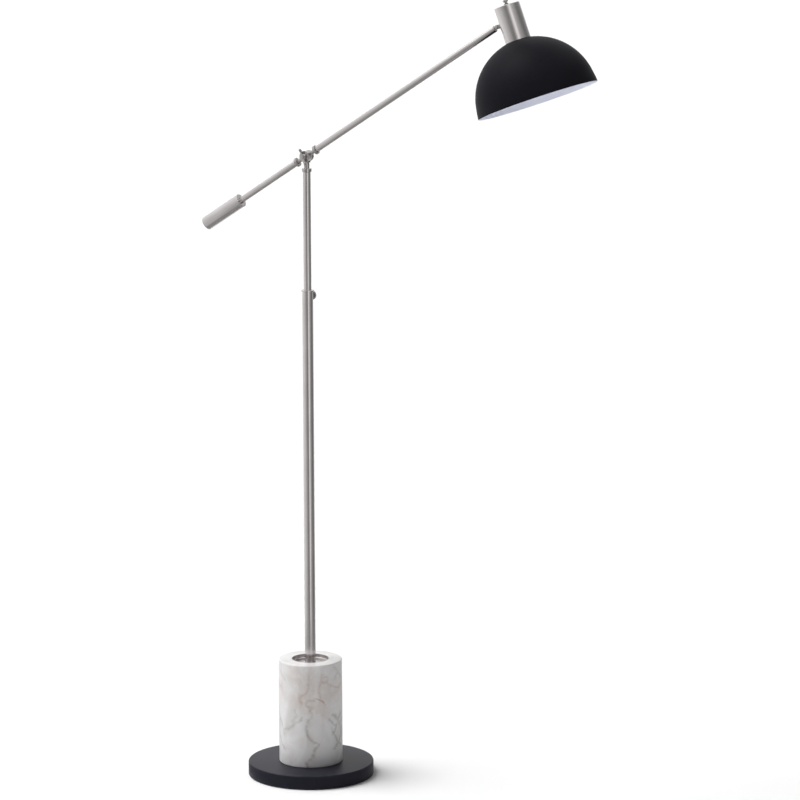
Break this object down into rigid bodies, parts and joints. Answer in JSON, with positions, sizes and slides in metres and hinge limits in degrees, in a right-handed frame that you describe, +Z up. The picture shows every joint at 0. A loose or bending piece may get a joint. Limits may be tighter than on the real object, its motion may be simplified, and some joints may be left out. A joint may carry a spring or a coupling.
{
  "type": "arc floor lamp",
  "caption": "Balance-arm floor lamp with disc base, marble column, telescoping pole, counterweighted tilting arm and dome shade.",
  "frame": {"origin": "middle of the underside of the base pad, on the floor", "axes": "+Z up along the pole, +X towards the head, the arm in the XZ plane"},
  "size_m": [0.8615, 0.254, 1.5956],
  "materials": {
    "brushed_nickel": "fine lengthwise brushing, satin clear lacquer",
    "polished_nickel": "polished nickel plate",
    "zinc_steel": "zinc-plated steel",
    "brass": "plain machined",
    "cast_iron": "rough cast",
    "base_black": "satin black powder coat",
    "shade_black": "spun aluminium, satin black enamel outside, white inside",
    "marble": "polished white marble with pink-beige and grey-green veins",
    "felt_pad": "black felt",
    "rubber": "moulded",
    "nylon": "natural nylon",
    "phenolic": "moulded phenolic",
    "porcelain": "white glaze",
    "cable_jacket": "smooth jacket",
    "opal_glass": "opal globe"
  },
  "bodies": {
    "base": {"base_pad": "felt_pad", "base_weight": "cast_iron", "base_cover": "base_black", "marble_column": "marble", "seat_dish": "brushed_nickel", "tie_pipe": "zinc_steel", "tie_nut": "zinc_steel", "tie_washer": "zinc_steel", "tube_plug": "brass", "lower_tube": "brushed_nickel", "lock_collar": "brushed_nickel", "cord_gland": "rubber", "column_lead": "cable_jacket"},
    "slider": {"guide_bush": "nylon"},
    "column": {"upper_tube": "brushed_nickel", "stem_ring": "polished_nickel", "pivot_fork": "polished_nickel", "pivot_bolt": "polished_nickel", "friction_washer_near": "nylon", "friction_washer_far": "nylon"},
    "height_knob": {"height_knob": "polished_nickel"},
    "wing_nut": {"wing_nut": "polished_nickel"},
    "arm": {"arm_hub": "polished_nickel", "collar_front": "polished_nickel", "collar_rear": "polished_nickel", "collar_screw": "zinc_steel", "arm_tube_front": "brushed_nickel", "arm_tube_rear": "brushed_nickel", "arm_lead": "cable_jacket", "counterweight": "brushed_nickel", "counterweight_stud": "zinc_steel", "arm_end": "polished_nickel"},
    "head": {"head_fork": "polished_nickel", "head_pin": "polished_nickel", "head_nut": "zinc_steel", "socket_cup": "brushed_nickel", "switch_body": "phenolic", "switch_nut": "polished_nickel", "lamp_holder": "porcelain", "screw_shell": "brass", "shade": "shade_black", "shade_ring": "porcelain", "bulb_cap": "zinc_steel", "bulb_glass": "opal_glass"},
    "switch_knob": {"switch_knob": "polished_nickel"}
  },
  "joints": [
    {"name": "height_slide", "type": "slide", "parent": "base", "child": "slider", "axis": [0, 0, 1], "range_m": [-0.2, 0.2]},
    {"name": "column_turn", "type": "hinge", "parent": "slider", "child": "column", "pos_m": [0, 0, 1], "axis": [0, 0, 1], "range_deg": [-170, 170]},
    {"name": "arm_tilt", "type": "hinge", "parent": "column", "child": "arm", "pos_m": [0, 0, 1.2613], "axis": [0, -1, 0], "range_deg": [-75, 12]},
    {"name": "head_tilt", "type": "hinge", "parent": "arm", "child": "head", "pos_m": [0.42352, 0, 1.53267], "axis": [0, -1, 0], "range_deg": [-30, 70]},
    {"name": "height_knob_turn", "type": "hinge", "parent": "base", "child": "height_knob", "pos_m": [0, 0.0156, 0.9815], "axis": [0, 1, 0], "range_deg": [0, 360]},
    {"name": "wing_nut_turn", "type": "hinge", "parent": "column", "child": "wing_nut", "pos_m": [0, -0.0135, 1.2613], "axis": [0, -1, 0], "range_deg": [0, 360]},
    {"name": "switch_turn", "type": "hinge", "parent": "head", "child": "switch_knob", "pos_m": [0.45394, 0, 1.54411], "axis": [-0.3518, 0, 0.9361], "continuous": true}
  ]
}
